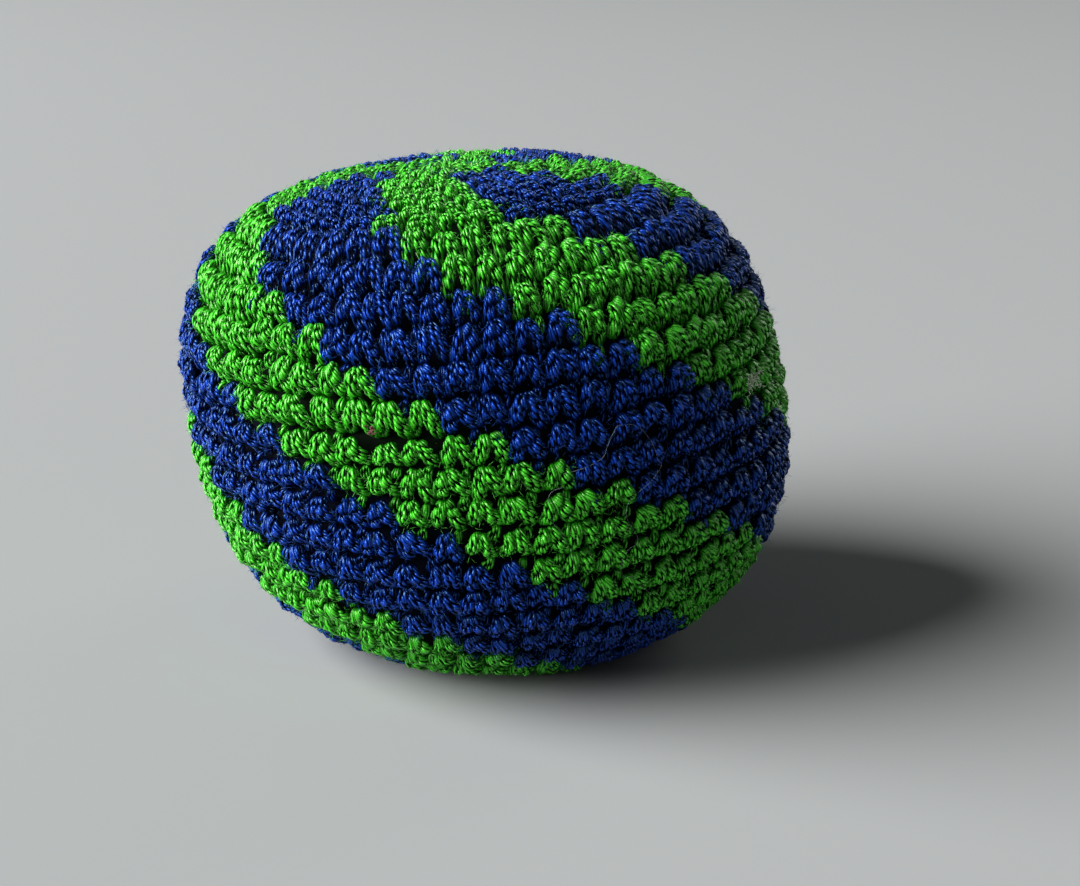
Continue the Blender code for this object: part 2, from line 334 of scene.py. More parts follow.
# The cover: the stitches as they stand on the bag, in shiny green and blue yarn. Sixty go round
# it, and fewer near the crown and the base. Each is a copy of one of the shapes, laid on the
# skin and drawn out to fill its place. The colours move on in each round, and so they spiral.
STITCHES_AROUND = 60
LEAST_STITCHES = 6
LEAST_PITCH = 0.00250
CROWN_PITCH = 0.00285
TALLEST_ROUND = 0.00380
GREEN_STITCHES = 7
BLUE_STITCHES = 8
COLOUR_STEP = 2
ROUND_DRIFT_SHARE = 0.25
BAND_START_ANGLE = math.radians(14.8)
COVER_SEED = 5
TURN_WANDER_ANGLE = math.radians(4)
SIZE_SHARES = (0.89, 1.11)
PLACE_WANDER_SHARE = 0.042
DEPTH_WANDER = 0.00016
NUDGE_ANGLE = 0.002
# The rounds waver: waves around the bag, their turn from round to round, and their start
WAVER_SHARE = 0.03
WAVERS = ((3, 0.35, 1.0), (7, -0.8, 0.0))
# The top of each stitch stands proud and its foot turns in, so that a dark gap shows under it.
# Toward the crown the stitches are drawn out and fill that gap, and the tight rounds above the
# close round show no knobs.
SHINGLE_ANGLE = math.radians(13)
OPEN_HEIGHT_SHARE = 0.93
OPEN_DROP_SHARE = 0.06
CLOSE_ROUND = 19
CLOSING_ROUNDS = 3
CLOSE_GROWTH_SHARE = 0.05
# The slack place in a green band: two rounds stand apart and leave a dark slot. The stitches
# over the slot have drawn away from their knobs.
SLACK_ROUND = 13
SLACK_MIDDLE_ANGLE = math.radians(-16.5)
SLACK_REACH_ANGLE = math.radians(9.5)
SLACK_EDGE_POWER = 4
SLACK_SINK_SHARE = 0.08
SLACK_SHRINK_SHARE = 0.20
SLACK_UPPER_SINK_SHARE = 0.06
SLACK_BARE_SHARE = 0.3
# The yarn's gloss. Fine threads wind round each ply, and painted shade darkens the edges of its
# flat outer side, so that it is palest in its middle. Each ply has a shade of its own, down to the
# least one.
YARN_ROUGHNESS = 0.30
YARN_IOR = 1.5
YARN_SPECULAR = 0.75
LEAST_PLY_SHADE = 0.55
PLY_EDGE_SHADE = 0.48
THREAD_PITCH = 0.00026
THREAD_STARTS = 2
THREAD_HEIGHT = 0.00003
THREAD_BUMP_STRENGTH = 0.15


class Wire:
    """A socket of a node tree, for which ordinary sums add Math nodes."""

    def __init__(self, graph, socket):
        self.graph = graph
        self.socket = socket

    def __add__(self, other):
        return self.graph.maths("ADD", self, other)

    def __sub__(self, other):
        return self.graph.maths("SUBTRACT", self, other)

    def __rsub__(self, other):
        return self.graph.maths("SUBTRACT", other, self)

    def __mul__(self, other):
        return self.graph.maths("MULTIPLY", self, other)

    def __truediv__(self, other):
        return self.graph.maths("DIVIDE", self, other)

    def __rtruediv__(self, other):
        return self.graph.maths("DIVIDE", other, self)

    __radd__ = __add__
    __rmul__ = __mul__


class Graph:
    """Adds nodes to a tree: a type, its settings, and the values or links of its sockets."""

    def __init__(self, tree):
        self.tree = tree

    def node(self, kind, settings=None, sockets=None):
        made = self.tree.nodes.new(kind)
        for name, value in (settings or {}).items():
            setattr(made, name, value)
        for name, value in (sockets or {}).items():
            if isinstance(name, int):
                socket = made.inputs[name]
            else:
                socket = next(s for s in made.inputs if s.name == name and s.enabled)
            if isinstance(value, Wire):
                self.tree.links.new(value.socket, socket)
            else:
                socket.default_value = value
        return made

    def out(self, kind, settings=None, sockets=None, output=0):
        made = self.node(kind, settings, sockets)
        if isinstance(output, str):
            return Wire(self, next(s for s in made.outputs if s.name == output and s.enabled))
        return Wire(self, made.outputs[output])

    def maths(self, operation, first, second):
        return self.out("ShaderNodeMath", {"operation": operation}, {0: first, 1: second})

    def blend(self, factor, first, second):
        return self.out("ShaderNodeMix", {"data_type": "RGBA"},
                        {"Factor": factor, "A": (*first, 1.0), "B": (*second, 1.0)}, "Result")

    def speckle(self, scale, detail):
        place = self.out("ShaderNodeTexCoord", None, None, "Object")
        return self.out("ShaderNodeTexNoise", None,
                        {"Vector": place, "Scale": scale, "Detail": detail}, "Fac")

    def stored(self, name):
        return self.out("ShaderNodeAttribute", {"attribute_name": name}, None, "Fac")


def stitching_tree():
    """Stands a stitch on every point, gives each its part of the bake map, and joins them."""
    tree = bpy.data.node_groups.new("stitching", "GeometryNodeTree")
    tree.is_modifier = True
    for name, kind in (("Geometry", "NodeSocketGeometry"), ("Shapes", "NodeSocketCollection"),
                       ("Yarn", "NodeSocketMaterial"), ("Cells Across", "NodeSocketFloat")):
        tree.interface.new_socket(name, in_out="INPUT", socket_type=kind)
    tree.interface.new_socket("Geometry", in_out="OUTPUT", socket_type="NodeSocketGeometry")
    graph = Graph(tree)
    given = graph.node("NodeGroupInput")
    points, shapes, yarn, cells = (Wire(graph, given.outputs[index]) for index in range(4))

    def stored(name, kind):
        return graph.out("GeometryNodeInputNamedAttribute", {"data_type": kind}, {"Name": name},
                         "Attribute")

    copies = graph.out("GeometryNodeCollectionInfo", {"transform_space": "ORIGINAL"},
                       {"Collection": shapes, "Separate Children": True, "Reset Children": True})
    turn = graph.out("FunctionNodeEulerToRotation", None,
                     {"Euler": stored("turn", "FLOAT_VECTOR")})
    stood = graph.out("GeometryNodeInstanceOnPoints", None,
                      {"Points": points, "Instance": copies, "Pick Instance": True,
                       "Instance Index": stored("shape", "INT"), "Rotation": turn,
                       "Scale": stored("size", "FLOAT_VECTOR")})
    joined = graph.out("GeometryNodeRealizeInstances", None, {"Geometry": stood})
    cell_map = graph.out("ShaderNodeVectorMath", {"operation": "ADD"},
                         {0: stored("OFBake", "FLOAT_VECTOR"), 1: stored("cell", "FLOAT_VECTOR")})
    shrink = graph.out("ShaderNodeCombineXYZ", None, {0: 1.0 / cells, 1: 1.0 / cells})
    packed = graph.out("ShaderNodeVectorMath", {"operation": "MULTIPLY"}, {0: cell_map, 1: shrink})
    mapped = graph.out("GeometryNodeStoreNamedAttribute",
                       {"data_type": "FLOAT2", "domain": "CORNER"},
                       {"Geometry": joined, "Name": "OFBake", "Value": packed})
    finished = graph.out("GeometryNodeSetMaterial", None, {"Geometry": mapped, "Material": yarn})
    graph.node("NodeGroupOutput", None, {0: finished})
    return tree


def stitch_rounds():
    """Each round with its lower and upper line. The tall ones at the ends are two rounds deep."""
    for row in range(ROUNDS):
        deep = 2 if round_line(row + 1) - round_line(row) > TALLEST_ROUND else 1
        for part in range(deep):
            yield row, row + part / deep, row + (part + 1) / deep


def stitches_in(middle_row):
    """How many stitches a round has, by how long its crest is."""
    radius = float(np.interp(round_line(middle_row), ARC, SIDE_RADIUS))
    least = CROWN_PITCH if middle_row > CLOSE_ROUND + 1 else LEAST_PITCH
    return max(LEAST_STITCHES, min(STITCHES_AROUND, round(2 * math.pi * radius / least)))


def band_at(longitude, row):
    """Which colour band a place is in, counted round the bag: even is green, odd is blue."""
    pitch = 2 * math.pi / STITCHES_AROUND
    drift = ROUND_DRIFT_SHARE * (row + 0.5 - ROUNDS / 2)
    column = (longitude - BAND_START_ANGLE) / pitch + GREEN_STITCHES - drift
    place = (column + COLOUR_STEP * (row - ROUNDS // 2)) % STITCHES_AROUND
    repeat = GREEN_STITCHES + BLUE_STITCHES
    return int(2 * (place // repeat) + (0 if place % repeat < GREEN_STITCHES else 1))


def slack_at(longitude, row):
    """How slack a stitch is, from 0 to 1: full in the middle of the slack place."""
    if row not in (SLACK_ROUND, SLACK_ROUND + 1):
        return 0.0
    away = abs((longitude - SLACK_MIDDLE_ANGLE + math.pi) % (2 * math.pi) - math.pi)
    return max(0.0, 1 - (away / SLACK_REACH_ANGLE) ** SLACK_EDGE_POWER)


def stitch_places():
    """Every stitch of the cover: its round, its band, its place, its turn and its size."""
    draw = random.Random(COVER_SEED)
    for row, low_row, high_row in stitch_rounds():
        middle_row = (low_row + high_row) / 2
        count = stitches_in(middle_row)
        low, crest, high = round_line(low_row), round_line(middle_row), round_line(high_row)
        pitch = 2 * math.pi / count
        drift = ROUND_DRIFT_SHARE * 2 * math.pi / STITCHES_AROUND * (middle_row - ROUNDS / 2)
        start = BAND_START_ANGLE + drift
        growth = CLOSE_GROWTH_SHARE * min(1.0, max(0.0, (row - CLOSE_ROUND) / CLOSING_ROUNDS + 0.5))
        for column in range(count):
            longitude = start + (column + 0.5 + draw.gauss(0, PLACE_WANDER_SHARE)) * pitch
            place = skin_points(longitude, crest)
            east = Vector(skin_points(longitude + NUDGE_ANGLE, crest)
                          - skin_points(longitude - NUDGE_ANGLE, crest))
            north = Vector(skin_points(longitude, high) - skin_points(longitude, low))
            width = east.length / (2 * NUDGE_ANGLE) * pitch
            height = north.length
            out_way = east.cross(north).normalized()
            east.normalize()
            up = out_way.cross(east)
            turn = Matrix((east, up, out_way)).transposed()
            turn = turn @ Euler((SHINGLE_ANGLE + draw.gauss(0, TURN_WANDER_ANGLE), 0,
                                 draw.gauss(0, TURN_WANDER_ANGLE))).to_matrix()
            slack = slack_at(longitude, row)
            sink, shrink = SLACK_UPPER_SINK_SHARE, 0.0
            if row == SLACK_ROUND:
                sink, shrink = SLACK_SINK_SHARE, SLACK_SHRINK_SHARE
            size = (width / PITCH * draw.uniform(*SIZE_SHARES),
                    height / ROUND_HEIGHT * (1 - slack * shrink) * (OPEN_HEIGHT_SHARE + growth)
                    * draw.uniform(*SIZE_SHARES), 1.0)
            sunk = -abs(draw.gauss(0, 1)) * DEPTH_WANDER
            waver = WAVER_SHARE * sum(math.sin(waves * longitude + turning * row + begun)
                                      for waves, turning, begun in WAVERS)
            raised = waver + draw.gauss(0, PLACE_WANDER_SHARE) - slack * sink - OPEN_DROP_SHARE
            spot = Vector(place) + out_way * sunk + up * raised * height
            shape = draw.randrange(SHAPES)
            if row > CLOSE_ROUND or (row == SLACK_ROUND + 1 and slack > SLACK_BARE_SHARE):
                shape = SHAPES + shape % BARE_SHAPES
            # The colour goes by the stitch's own column, so that a stray one keeps its band
            band = band_at(start + (column + 0.5) * pitch, row)
            yield row, band, spot, turn.to_euler(), size, shape


STITCHING = stitching_tree()
stitches_of = {}
for stitch in stitch_places():
    row, band = stitch[0], stitch[1]
    if row == 0:
        key = "closing_ring"
    elif row == ROUNDS - 1:
        key = "start_ring"
    else:
        key = f"{'blue' if band % 2 else 'green'}_band_{band // 2 + 1}"
    stitches_of.setdefault(key, []).append(stitch[2:])


def stood_piece(name, shapes, stitches, yarn):
    """A plain mesh of the copies that stand at a list of places: stitches, or loose fibres."""
    mesh = bpy.data.meshes.new(name)
    mesh.from_pydata([place for place, _, _, _ in stitches], [], [])
    cells = math.ceil(math.sqrt(len(stitches)))
    columns = {"turn": [], "size": [], "cell": []}
    for index, (_, turn, size, _) in enumerate(stitches):
        columns["turn"] += list(turn)
        columns["size"] += list(size)
        columns["cell"] += [index % cells, index // cells, 0.0]
    for key, values in columns.items():
        mesh.attributes.new(key, "FLOAT_VECTOR", "POINT").data.foreach_set("vector", values)
    picked = [shape for _, _, _, shape in stitches]
    mesh.attributes.new("shape", "INT", "POINT").data.foreach_set("value", picked)
    holder = bpy.data.objects.new(name + "_points", mesh)
    bpy.context.scene.collection.objects.link(holder)
    modifier = holder.modifiers.new("stitching", "NODES")
    modifier.node_group = STITCHING
    inputs = {item.name: item.identifier for item in STITCHING.interface.items_tree
              if item.in_out == "INPUT"}
    modifier[inputs["Shapes"]] = shapes
    modifier[inputs["Yarn"]] = yarn
    modifier[inputs["Cells Across"]] = float(cells)
    bpy.context.view_layer.update()
    evaluated = holder.evaluated_get(bpy.context.evaluated_depsgraph_get())
    plain = bpy.data.meshes.new_from_object(evaluated)
    plain.name = name
    bpy.data.objects.remove(holder)
    places = np.empty(3 * len(plain.vertices))
    plain.vertices.foreach_get("co", places)
    places[2::3] = np.maximum(places[2::3], 0.0)  # the floor flattens what lies under the bag
    plain.vertices.foreach_set("co", places)
    for extra in ("turn", "size", "cell", "shape"):
        if extra in plain.attributes:
            plain.attributes.remove(plain.attributes[extra])
    piece = bpy.data.objects.new(name, plain)
    bpy.context.scene.collection.objects.link(piece)
    return piece


def yarn_material(name, deep, light, gloss, painted_shade_power):
    """Shiny twisted yarn: each ply has its own shade, and its fine threads wind the other way.
    Painted shade darkens it toward the deep colour at ply tips, deep down and at the edges of each
    ply.
    """
    material = bpy.data.materials.new(name)
    material.use_nodes = True
    graph = Graph(material.node_tree)
    shader = material.node_tree.nodes["Principled BSDF"]
    shader.inputs["Roughness"].default_value = YARN_ROUGHNESS
    shader.inputs["IOR"].default_value = YARN_IOR
    shader.inputs["Specular IOR Level"].default_value = YARN_SPECULAR
    shader.inputs["Specular Tint"].default_value = (*gloss, 1.0)
    shade = graph.stored("shade")
    # Painted shade: the crest value, raised to a power, keeps less of the light colour at ply tips
    # and deep down, and the colour also darkens toward the edges of each ply's outer side.
    crest = graph.maths("POWER", graph.stored("crest"), painted_shade_power)
    ply = graph.node("ShaderNodeUVMap", {"uv_map": "ply"})
    parts = graph.node("ShaderNodeSeparateXYZ", None, {0: Wire(graph, ply.outputs[0])})
    along, around = Wire(graph, parts.outputs[0]), Wire(graph, parts.outputs[1])
    # From -1 to 1 across the outer side of a ply, the first of its sides
    off_middle = around * (2 * PLY_SIDES) - 1
    painted_face_light = 1 - off_middle * off_middle * PLY_EDGE_SHADE
    ply_light = shade * (1 - LEAST_PLY_SHADE) + LEAST_PLY_SHADE
    colour = graph.blend(crest * ply_light * painted_face_light, deep, light)
    material.node_tree.links.new(colour.socket, shader.inputs["Base Color"])
    wind = (along / THREAD_PITCH - around * THREAD_STARTS) * (2 * math.pi)
    threads = graph.out("ShaderNodeMath", {"operation": "SINE"}, {0: wind})
    bump = graph.out("ShaderNodeBump", None,
                     {"Strength": THREAD_BUMP_STRENGTH, "Distance": THREAD_HEIGHT,
                      "Height": threads})
    material.node_tree.links.new(bump.socket, shader.inputs["Normal"])
    return material


# The deep colours are the painted shade that the plies take on; the blue darkens faster with depth.
GREEN_YARN = yarn_material("green_yarn", deep=(0.014, 0.21, 0.006), light=(0.056, 0.66, 0.014),
                           gloss=(0.86, 1.0, 0.62), painted_shade_power=1.0)
BLUE_YARN = yarn_material("blue_yarn", deep=(0.0004, 0.0024, 0.016), light=(0.0020, 0.040, 0.45),
                          gloss=(0.22, 0.56, 1.0), painted_shade_power=1.9)
for key, stitches in stitches_of.items():
    green = key.startswith("green") or key == "start_ring"
    piece = stood_piece(key.replace("_", "_yarn_", 1), stitch_shapes, stitches,
                        GREEN_YARN if green else BLUE_YARN)
    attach(piece, "root")
    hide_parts(key)


# Loose fibres that stand out of the yarn all over the bag, where use has teased them from the
# plies. Each is a fine curled hair of the yarn's own colour, rooted a little under the skin.
FIBRE_RADIUS = 0.000011
FIBRE_STEP = 0.00025
FIBRE_STEPS = 3
FIBRE_SHAPES = 12
FIBRE_SHAPE_SEED = 90
FIBRE_SLANTS = (0.3, 1.5)
FIBRE_CURL_ANGLE = math.radians(42)
FIBRE_DROOP_SHARE = 0.08
FIBRES_EACH_COLOUR = 14500
FIBRE_PLACE_SEED = 21
FIBRE_ROOT_DEPTH = 0.00020
FIBRE_REACH_SHARES = (0.06, 0.68)
FIBRE_SIZE_SHARES = (0.45, 1.45)
LOOSE_ROUGHNESS = 0.6
LOOSE_SPECULAR = 0.2
DUST_SCALE = 1500.0
DUST_DETAIL = 2.0


def loose_material(name, dark, light):
    """Fine loose hairs: each has its own shade, and they are blotched with dust."""
    material = bpy.data.materials.new(name)
    material.use_nodes = True
    graph = Graph(material.node_tree)
    shader = material.node_tree.nodes["Principled BSDF"]
    shader.inputs["Roughness"].default_value = LOOSE_ROUGHNESS
    shader.inputs["Specular IOR Level"].default_value = LOOSE_SPECULAR
    shade = graph.stored("shade")
    dust = graph.speckle(DUST_SCALE, DUST_DETAIL)
    tint = graph.blend(shade * 0.5 + dust * 0.5, dark, light)
    material.node_tree.links.new(tint.socket, shader.inputs["Base Color"])
    return material


def build_fibre(number):
    """One loose fibre: it leaves the yarn at a slant and curls at random."""
    draw = random.Random(FIBRE_SHAPE_SEED + number)
    mesh_data = bmesh.new()
    layers = yarn_layers(mesh_data)
    place = Vector((0.0, 0.0, 0.0))
    upward = Vector((0.0, 0.0, 1.0))
    way = Vector((1.0, 0.0, draw.uniform(*FIBRE_SLANTS))).normalized()
    points = [(place, upward)]
    for _ in range(FIBRE_STEPS):
        bend = Euler([draw.uniform(-1, 1) * FIBRE_CURL_ANGLE for _ in range(3)])
        way = (bend.to_matrix() @ way).normalized()
        way = (way - upward * FIBRE_DROOP_SHARE).normalized()
        place = place + way * FIBRE_STEP
        points.append((place, upward))
    add_ply(mesh_data, points, bake_cell(0, 1, 1), draw, layers, FIBRE_RADIUS)
    mesh = bpy.data.meshes.new(f"fibre_shape_{number}")
    mesh_data.to_mesh(mesh)
    mesh_data.free()
    return bpy.data.objects.new(mesh.name, mesh)


def fibre_places():
    """Places spread over the stitches of the bag, each with its colour, turn, size and shape."""
    draw = random.Random(FIBRE_PLACE_SEED)
    wanted = {0: FIBRES_EACH_COLOUR, 1: FIBRES_EACH_COLOUR}
    upper_lines = round_line(np.arange(1, ROUNDS + 1))
    while any(wanted.values()):
        arc = draw.uniform(0, SIDE_LENGTH)
        if draw.random() * BALL_RADIUS > float(np.interp(arc, ARC, SIDE_RADIUS)):
            continue
        longitude = draw.uniform(-math.pi, math.pi)
        row = min(ROUNDS - 1, int(np.searchsorted(upper_lines, arc)))
        colour = band_at(longitude, row) % 2
        share = (arc - round_line(row)) / (round_line(row + 1) - round_line(row))
        lowest, highest = FIBRE_REACH_SHARES
        if row == SLACK_ROUND and abs(longitude - SLACK_MIDDLE_ANGLE) < SLACK_REACH_ANGLE:
            highest -= SLACK_SHRINK_SHARE
        if not wanted[colour] or not lowest < share < highest:
            continue
        wanted[colour] -= 1
        place = Vector(skin_points(longitude, arc, FIBRE_ROOT_DEPTH))
        outer = Vector(skin_points(longitude, arc, -FIBRE_ROOT_DEPTH))
        spin = Euler((0, 0, draw.uniform(0, 2 * math.pi))).to_quaternion()
        turn = (outer - place).to_track_quat("Z", "Y") @ spin
        size = draw.uniform(*FIBRE_SIZE_SHARES)
        yield colour, place, turn.to_euler(), (size, size, size), draw.randrange(FIBRE_SHAPES)


fibre_shapes = bpy.data.collections.new("fibre_shapes")
for shape_number in range(FIBRE_SHAPES):
    fibre_shapes.objects.link(build_fibre(shape_number))
fibres = list(fibre_places())
for colour, name, dark, light in ((0, "green", (0.04, 0.36, 0.02), (0.16, 0.80, 0.08)),
                                  (1, "blue", (0.004, 0.03, 0.22), (0.02, 0.11, 0.48))):
    fuzz = loose_material(name + "_fuzz", dark, light)
    own_fibres = [fibre[1:] for fibre in fibres if fibre[0] == colour]
    piece = stood_piece(name + "_fuzz", fibre_shapes, own_fibres, fuzz)
    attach(piece, "root")


# A long pale hair that lies on the bag in loops, and two shorter ones, as longitudes in degrees
# and rounds. Pale fluff has caught in the yarn at the right, and a pink scrap in the slack place.
STRAY_RADIUS = 0.000012
STRAY_LIFT = 0.00010
STRAYS = (
    ((13.0, 12.45), (16.0, 12.5), (18.5, 12.6), (20.5, 12.75), (21.5, 13.05), (23.0, 13.4),
     (24.0, 13.55), (26.5, 13.5), (28.0, 13.35), (29.0, 13.1), (30.0, 12.75), (30.5, 12.3),
     (31.0, 12.1), (29.5, 11.85), (28.0, 11.65), (24.0, 11.3), (23.0, 10.8), (24.5, 10.2),
     (24.5, 9.9), (23.0, 9.8), (21.5, 9.5), (21.5, 8.95), (23.5, 8.8), (25.0, 8.45),
     (27.5, 8.0), (28.5, 7.7), (28.0, 7.4)),
    ((13.0, 12.05), (11.0, 12.0), (10.0, 11.8), (10.0, 11.6)),
    ((9.5, 11.3), (10.5, 10.9), (12.0, 10.35), (12.5, 10.1), (12.5, 9.75)),
)
HAIR_STEPS = 4
HAIR_TILT = (0.0, -0.5, 1.0)
FLUFF_RADIUS = 0.000040
SCRAP_RADIUS = 0.000050
# A tuft's hairs: points on each, how high they lie, how far they turn and step, and how much
# longer they run along a round, in degrees, than across it, in rounds
TUFT_POINTS = 5
TUFT_LIFT = 0.0005
TUFT_TURN_ANGLE = 1.0
TUFT_STEP_SHARE = 0.45
TUFT_STRETCH = 6


def place_on_skin(longitude, row, lift):
    return Vector(skin_points(math.radians(longitude), round_line(row), -lift))


def hair_mesh(mesh_data, route, radius, draw, layers, cell):
    """A thin tube along a smoothed route."""
    points = []
    upward = Vector(HAIR_TILT).normalized()
    for index in range(len(route) - 1):
        before, start, end, after = (route[min(max(index + step, 0), len(route) - 1)]
                                     for step in (-1, 0, 1, 2))
        for step in range(HAIR_STEPS):
            share = step / HAIR_STEPS
            place = 0.5 * (2 * start + (end - before) * share
                           + (2 * before - 5 * start + 4 * end - after) * share ** 2
                           + (3 * start - 3 * end + after - before) * share ** 3)
            points.append((place, upward))
    points.append((route[-1], upward))
    add_ply(mesh_data, points, cell, draw, layers, radius)


def loose_piece(name, dark, light, routes, radius):
    """A piece of loose hairs or fluff."""
    draw = random.Random(len(routes))
    mesh_data = bmesh.new()
    layers = yarn_layers(mesh_data)
    for strip, route in enumerate(routes):
        hair_mesh(mesh_data, route, radius, draw, layers, bake_cell(strip, 1, len(routes)))
    mesh = bpy.data.meshes.new(name)
    mesh_data.to_mesh(mesh)
    mesh_data.free()
    mesh.materials.append(loose_material(name, dark, light))
    piece = bpy.data.objects.new(name, mesh)
    bpy.context.scene.collection.objects.link(piece)
    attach(piece, "root")
    return piece


def tuft_routes(longitude, row, count, reach, spread, seed):
    """Short curled hairs that lie tangled round one place, spread out along the round."""
    draw = random.Random(seed)
    routes = []
    for _ in range(count):
        place = Vector((longitude + draw.gauss(0, 1) * spread, row + draw.gauss(0, 1) * reach))
        way = draw.uniform(0, 2 * math.pi)
        route = []
        for _ in range(TUFT_POINTS):
            route.append(place_on_skin(place.x, place.y, draw.uniform(0.0, TUFT_LIFT)))
            way += draw.uniform(-TUFT_TURN_ANGLE, TUFT_TURN_ANGLE)
            stride = Vector((math.cos(way) * TUFT_STRETCH, math.sin(way)))
            place = place + stride * reach * TUFT_STEP_SHARE
        routes.append(route)
    return routes


stray_routes = [[place_on_skin(longitude, row, STRAY_LIFT) for longitude, row in stray]
                for stray in STRAYS]
loose_piece("stray_hairs", (0.22, 0.27, 0.28), (0.44, 0.52, 0.54), stray_routes, STRAY_RADIUS)
loose_piece("pale_fluff", (0.66, 0.80, 0.54), (0.95, 1.0, 0.86),
            tuft_routes(58.0, 13.5, count=44, reach=0.12, spread=1.6, seed=3), FLUFF_RADIUS)
loose_piece("pink_scrap", (0.14, 0.045, 0.055), (0.30, 0.11, 0.13),
            tuft_routes(-17.3, 14.08, count=18, reach=0.06, spread=0.36, seed=4), SCRAP_RADIUS)


# The yarn that is carried along inside the stitches, with the hidden backs of their loops. It
# makes the cover thick between the stitches, and it is what the filling presses on. Its near-black
# colour is painted shade, which shows in the gaps between the stitches.
CORE_DEPTH = 0.00185
LINING_DEPTH = 0.00235
CORE_RIDGE = 0.00016
CORE_COLUMNS = 120
CORE_ROWS_EACH = 4
CORE_ROUGHNESS = 0.9
CORE_SPECULAR = 0.1
CORE_DARK_SHARE = 0.5
CORE_SPECKLE_SCALE = 2600.0
CORE_SPECKLE_DETAIL = 2.0


def shaded_inner_yarn(name, colour):
    """The same yarn deep between the stitches: dull and speckled, in a near-black colour that is
    painted shade.
    """
    material = bpy.data.materials.new(name)
    material.use_nodes = True
    shader = material.node_tree.nodes["Principled BSDF"]
    shader.inputs["Roughness"].default_value = CORE_ROUGHNESS
    shader.inputs["Specular IOR Level"].default_value = CORE_SPECULAR
    graph = Graph(material.node_tree)
    tint = graph.blend(graph.speckle(CORE_SPECKLE_SCALE, CORE_SPECKLE_DETAIL),
                       [part * CORE_DARK_SHARE for part in colour], colour)
    material.node_tree.links.new(tint.socket, shader.inputs["Base Color"])
    return material


def build_core():
    """A closed shell under the stitches, ridged where the carried yarn runs round the bag."""
    mesh_data = bmesh.new()
    rows = ROUNDS * CORE_ROWS_EACH
    around = 2 * math.pi * np.arange(CORE_COLUMNS) / CORE_COLUMNS
    for wall, depth in enumerate((CORE_DEPTH, LINING_DEPTH)):
        rings = []
        for step in range(1, rows):
            ridge = CORE_RIDGE * (1 if step % 2 else -1) if wall == 0 else 0.0
            points = skin_points(around, round_line(step / CORE_ROWS_EACH), depth - ridge)
            rings.append([mesh_data.verts.new(point) for point in points])
        poles = [mesh_data.verts.new(skin_points(0.0, arc, depth)) for arc in (0.0, SIDE_LENGTH)]
        for step, (low, high) in enumerate(zip(rings, rings[1:])):
            for column in range(CORE_COLUMNS):
                after = (column + 1) % CORE_COLUMNS
                corners = [low[column], low[after], high[after], high[column]]
                face = mesh_data.faces.new(corners if wall == 0 else corners[::-1])
                longitude = 2 * math.pi * (column + 0.5) / CORE_COLUMNS
                row = min(ROUNDS - 2, max(1, int((step + 1.5) / CORE_ROWS_EACH)))
                face.material_index = band_at(longitude, row) % 2
                face.smooth = True
        for ring, pole, flip in ((rings[0], poles[0], True), (rings[-1], poles[1], False)):
            for column in range(CORE_COLUMNS):
                corners = [ring[column], ring[(column + 1) % CORE_COLUMNS], pole]
                face = mesh_data.faces.new(corners[::-1] if flip == (wall == 0) else corners)
                face.smooth = True
    mesh = bpy.data.meshes.new("carried_yarn")
    mesh_data.to_mesh(mesh)
    mesh_data.free()
    core = bpy.data.objects.new("carried_yarn", mesh)
    bpy.context.scene.collection.objects.link(core)
    return core


core = build_core()
# Near-black copies of the green and the blue: painted shade for the gaps between the stitches and
# the slack slot.
core.data.materials.append(shaded_inner_yarn("inner_green_yarn", (0.0015, 0.006, 0.0015)))
core.data.materials.append(shaded_inner_yarn("inner_blue_yarn", (0.001, 0.002, 0.009)))
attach(core, "root")


# The filling: small moulded pellets of dark plastic, a little mottled, poured in before the bag
# was closed. Most have settled into a bed, and some lie loose on it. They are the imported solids.
PELLET_MOTTLE_SCALE = 420.0
PELLET_MOTTLE_DETAIL = 3.0
PELLET_ROUGHNESS = 0.35
PELLET_WEAR = 0.2


def pellet_material():
    material = bpy.data.materials.new("pellet_plastic")
    material.use_nodes = True
    shader = material.node_tree.nodes["Principled BSDF"]
    graph = Graph(material.node_tree)
    mottle = graph.speckle(PELLET_MOTTLE_SCALE, PELLET_MOTTLE_DETAIL)
    tint = graph.blend(mottle, (0.12, 0.11, 0.11), (0.20, 0.19, 0.19))
    material.node_tree.links.new(tint.socket, shader.inputs["Base Color"])
    wear = mottle * PELLET_WEAR + PELLET_ROUGHNESS
    material.node_tree.links.new(wear.socket, shader.inputs["Roughness"])
    return material


PELLET_PLASTIC = pellet_material()
for node_name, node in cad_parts.items():
    if node_name.startswith("pellet_"):
        for material_slot in node.material_slots:
            material_slot.material = PELLET_PLASTIC


# The camera stands 17 cm from the middle of the bag and looks a little down on it, at the
# photograph's angle. Its frame is shifted, because the bag lies left of the picture's middle.
CAMERA_DISTANCE = 0.1736
CAMERA_ELEVATION = math.radians(16.5)
CAMERA_CLIP = 0.01
SENSOR_WIDTH = 36
FOCAL_PIXELS = 1819
PHOTO_WIDTH, PHOTO_HEIGHT = 1080, 886
BALL_AT_PIXEL = (488.5, 407.5)
ball_middle = Vector((-float(MIDDLE[0]), 0.0, BASE_DROP - BASE_PRESS))
toward_camera = Vector((0.0, -math.cos(CAMERA_ELEVATION), math.sin(CAMERA_ELEVATION)))
camera_data = bpy.data.cameras.new("camera")
camera_data.sensor_width = SENSOR_WIDTH
camera_data.lens = SENSOR_WIDTH * FOCAL_PIXELS / PHOTO_WIDTH
camera_data.shift_x = (PHOTO_WIDTH / 2 - BALL_AT_PIXEL[0]) / PHOTO_WIDTH
camera_data.shift_y = -(PHOTO_HEIGHT / 2 - BALL_AT_PIXEL[1]) / PHOTO_WIDTH
camera_data.clip_start = CAMERA_CLIP
camera = bpy.data.objects.new("camera", camera_data)
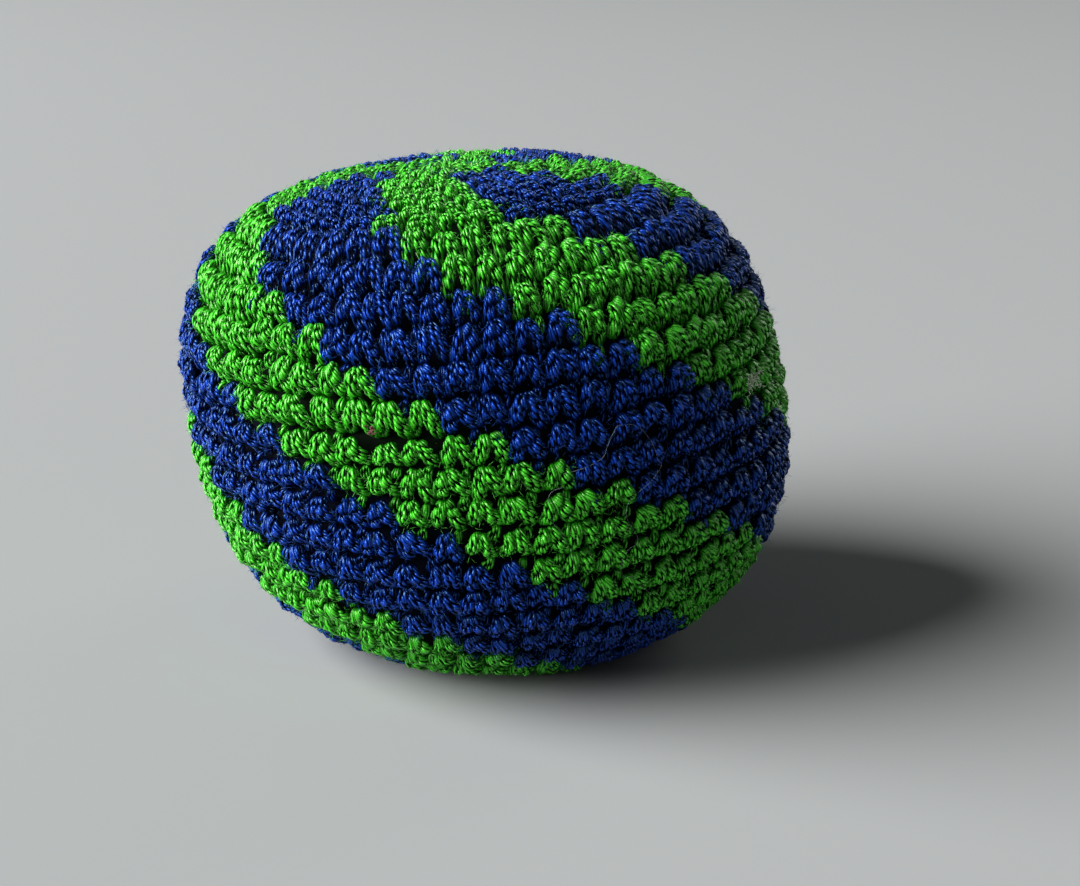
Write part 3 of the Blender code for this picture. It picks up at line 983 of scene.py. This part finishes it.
camera.location = ball_middle + toward_camera * CAMERA_DISTANCE
camera.rotation_euler = (-toward_camera).to_track_quat("-Z", "Y").to_euler()
bpy.context.scene.collection.objects.link(camera)
bpy.context.scene.camera = camera


# The stage: a plain flat floor and a plain grey backdrop. A large soft lamp at the left lights
# the bag as a window does, two faint ones open the shadows, and the sky adds a trace of light.
FLOOR_HALF_WIDTH = 0.6
FLOOR_HALF_LENGTH = 1.2
FLOOR_COLOUR = (0.35, 0.36, 0.36, 1.0)
FLOOR_ROUGHNESS = 0.9
SKY_COLOUR = (0.80, 0.86, 0.88, 1.0)
SKY_STRENGTH = 0.05
BACKDROP_COLOUR = (0.43, 0.45, 0.45, 1.0)
# Each lamp's name, place, diameter and watts
LAMPS = (("window", (-2.92, -0.47, 1.62), 3.42, 382.0),
         ("fill", (0.6, -1.4, 0.8), 1.0, 0.6),
         ("back_fill", (1.3, 1.3, 0.8), 1.0, 5.0))

floor_mesh = bpy.data.meshes.new("floor")
floor_data = bmesh.new()
bmesh.ops.create_grid(floor_data, x_segments=1, y_segments=1, size=1.0)
floor_data.to_mesh(floor_mesh)
floor_data.free()
floor_mesh.transform(Matrix.Diagonal((FLOOR_HALF_WIDTH, FLOOR_HALF_LENGTH, 1.0, 1.0)))
floor = bpy.data.objects.new("floor", floor_mesh)
floor_finish = bpy.data.materials.new("pale_floor")
floor_finish.use_nodes = True
floor_shader = floor_finish.node_tree.nodes["Principled BSDF"]
floor_shader.inputs["Base Color"].default_value = FLOOR_COLOUR
floor_shader.inputs["Roughness"].default_value = FLOOR_ROUGHNESS
floor_shader.inputs["Specular IOR Level"].default_value = 0.0
floor_mesh.materials.append(floor_finish)
bpy.context.scene.collection.objects.link(floor)
for name, place, diameter, watts in LAMPS:
    lamp_data = bpy.data.lights.new(name, "AREA")
    lamp_data.shape = "DISK"
    lamp_data.size = diameter
    lamp_data.energy = watts
    lamp = bpy.data.objects.new(name, lamp_data)
    lamp.location = place
    lamp.rotation_euler = (ball_middle - Vector(place)).to_track_quat("-Z", "Y").to_euler()
    bpy.context.scene.collection.objects.link(lamp)
world = bpy.data.worlds.new("studio")
world.use_nodes = True
sky = world.node_tree.nodes["Background"]
sky.inputs["Color"].default_value = SKY_COLOUR
sky.inputs["Strength"].default_value = SKY_STRENGTH
studio = Graph(world.node_tree)
backdrop = studio.out("ShaderNodeBackground", None, {"Color": BACKDROP_COLOUR, "Strength": 1.0})
rays = studio.node("ShaderNodeLightPath")
camera_ray, glossy_ray, through_ray = (
    Wire(studio, rays.outputs[f"Is {kind} Ray"]) for kind in ("Camera", "Glossy", "Transmission"))
shown = studio.out("ShaderNodeMixShader", None,
                   {0: camera_ray + glossy_ray + through_ray, 1: Wire(studio, sky.outputs[0]),
                    2: backdrop})
world_out = world.node_tree.nodes["World Output"]
world.node_tree.links.new(shown.socket, world_out.inputs["Surface"])
bpy.context.scene.world = world
bpy.context.scene.view_settings.view_transform = "Standard"
